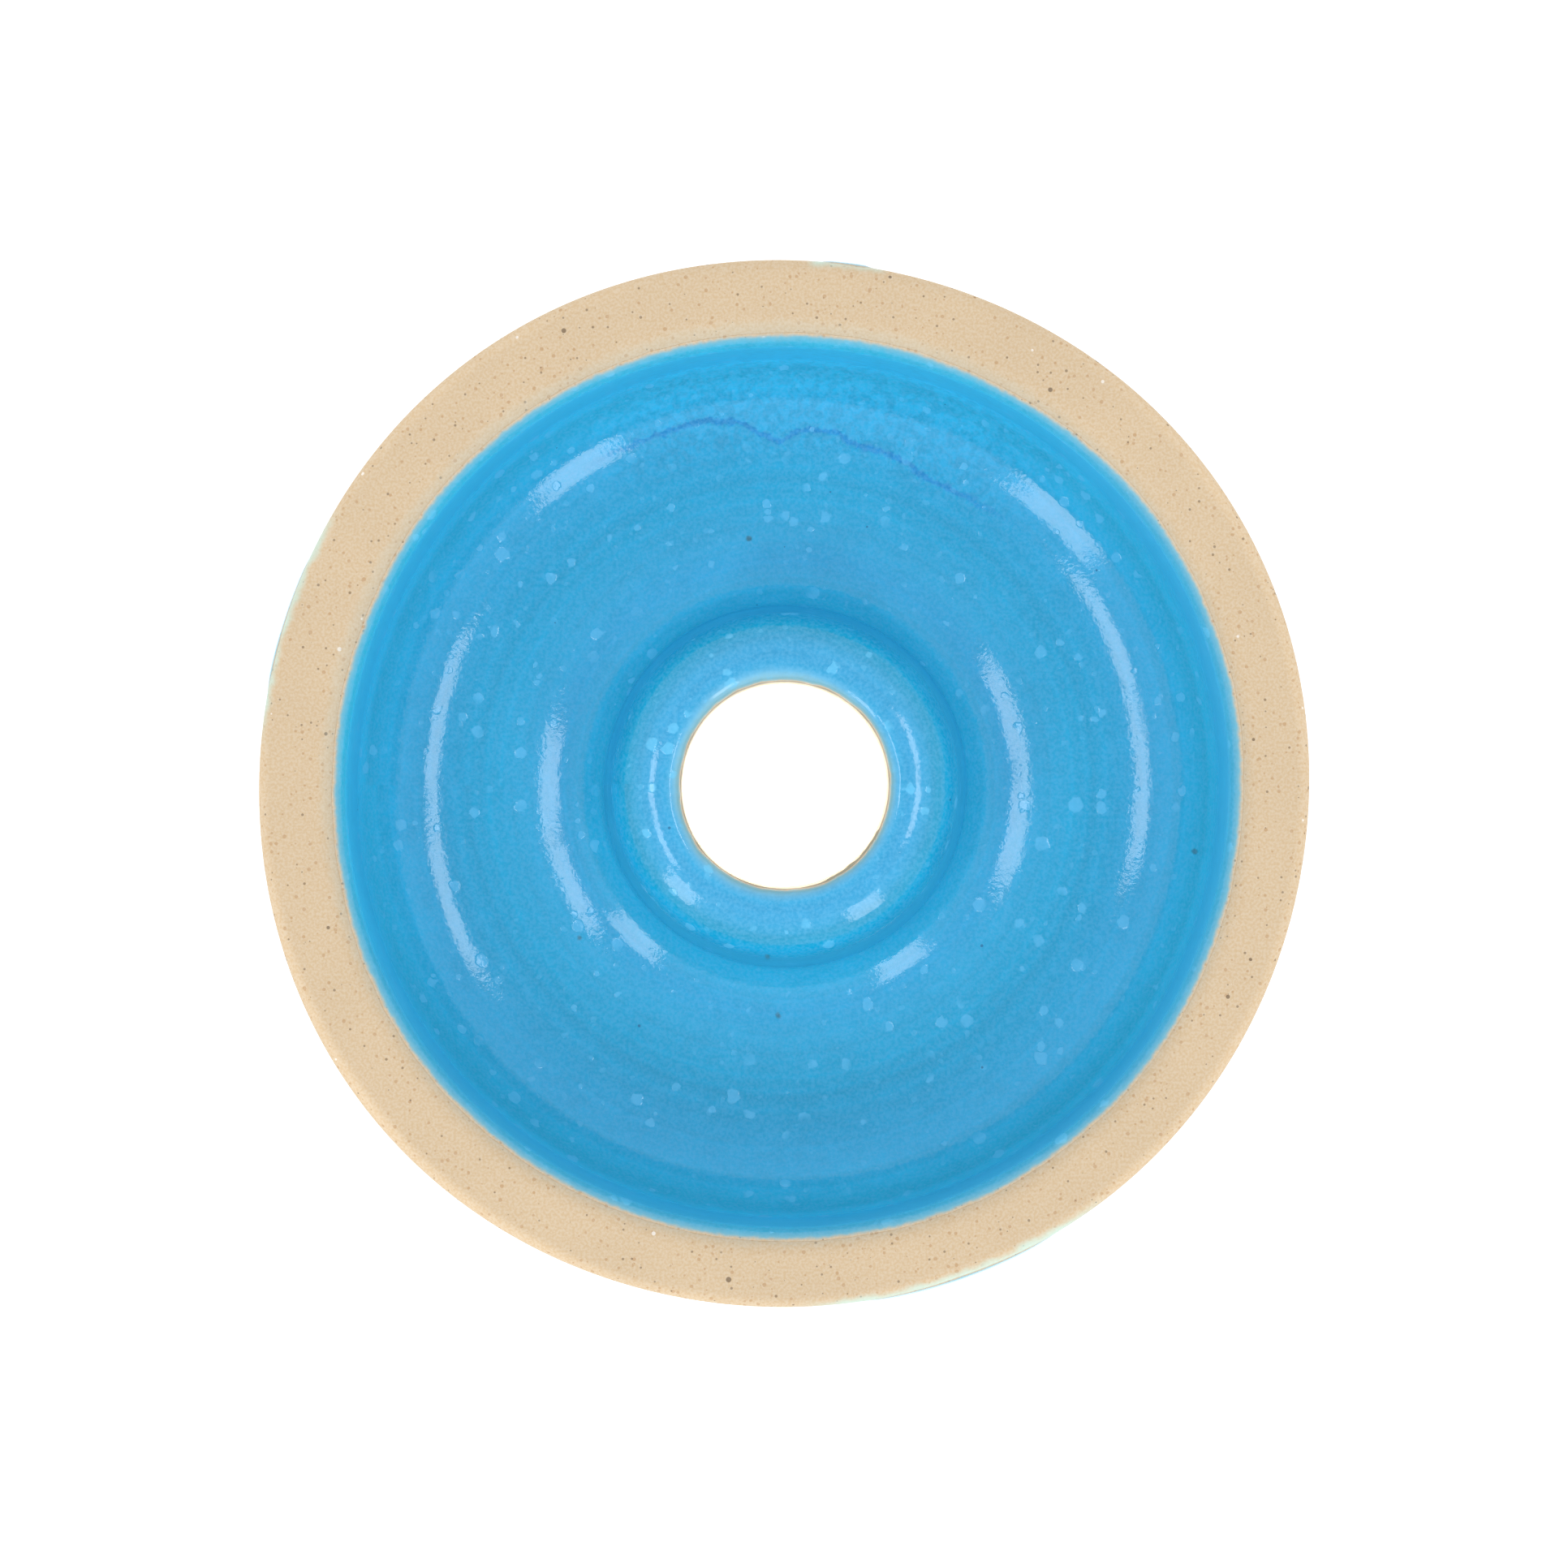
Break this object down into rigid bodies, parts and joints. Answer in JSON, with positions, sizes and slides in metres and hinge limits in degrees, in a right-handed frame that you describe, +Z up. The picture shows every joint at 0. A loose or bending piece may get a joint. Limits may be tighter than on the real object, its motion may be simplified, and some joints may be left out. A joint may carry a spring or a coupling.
{
  "type": "glazed stoneware water-pipe bowl",
  "caption": "Glazed stoneware water-pipe bowl with a ring-shaped well round a hollow central spire, a bare flat rim and a socket in its stem.",
  "frame": {"origin": "on the pot's axis, at the level of the foot it stands on", "axes": "+Z up along the axis, from the foot to the rim; the pot is a turned shape, so X and Y are equal"},
  "size_m": [0.0804, 0.0804, 0.09],
  "materials": {
    "stoneware": "bare fired stoneware, sand coloured, dull, finely speckled",
    "glaze": "glossy sky-blue glaze with fine mottling, small bubbles and a few iron specks"
  },
  "bodies": {
    "root": {"bowl_head": "stoneware", "stem": "stoneware", "well_glaze": "glaze", "outer_glaze": "glaze"}
  },
  "joints": []
}
